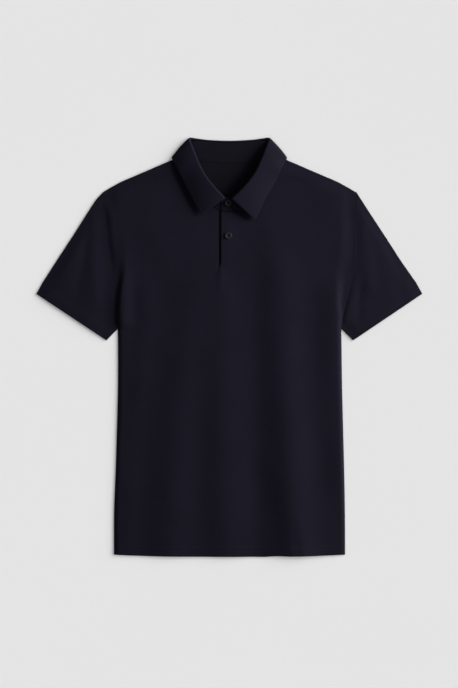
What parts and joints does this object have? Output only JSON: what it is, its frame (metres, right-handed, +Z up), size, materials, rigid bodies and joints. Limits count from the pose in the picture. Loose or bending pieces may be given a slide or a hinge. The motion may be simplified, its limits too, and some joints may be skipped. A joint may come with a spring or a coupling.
{
  "type": "polo shirt",
  "caption": "Short-sleeved knit polo shirt laid flat, front up, with a turned-down collar on a stand, a half placket and two buttons.",
  "frame": {"origin": "on the surface below the shirt, at the middle of its width and of its length from hem to collar", "axes": "+X to the wearer's left, +Y from the hem to the collar, +Z up off the surface, out of the front of the shirt"},
  "size_m": [0.694, 0.7534, 0.0199],
  "materials": {
    "cloth": "dark navy cotton pique knit, matt",
    "collar_cloth": "dark navy cotton pique knit, fused and pressed, matt",
    "button": "dark navy resin, semi-gloss"
  },
  "bodies": {
    "root": {"back_panel": "cloth", "front_panel": "cloth", "sleeve_left": "cloth", "sleeve_right": "cloth", "collar_stand": "collar_cloth", "collar_leaf": "collar_cloth", "placket_under": "cloth", "placket_upper": "cloth", "button_placket": "button", "button_neck": "button"}
  },
  "joints": []
}
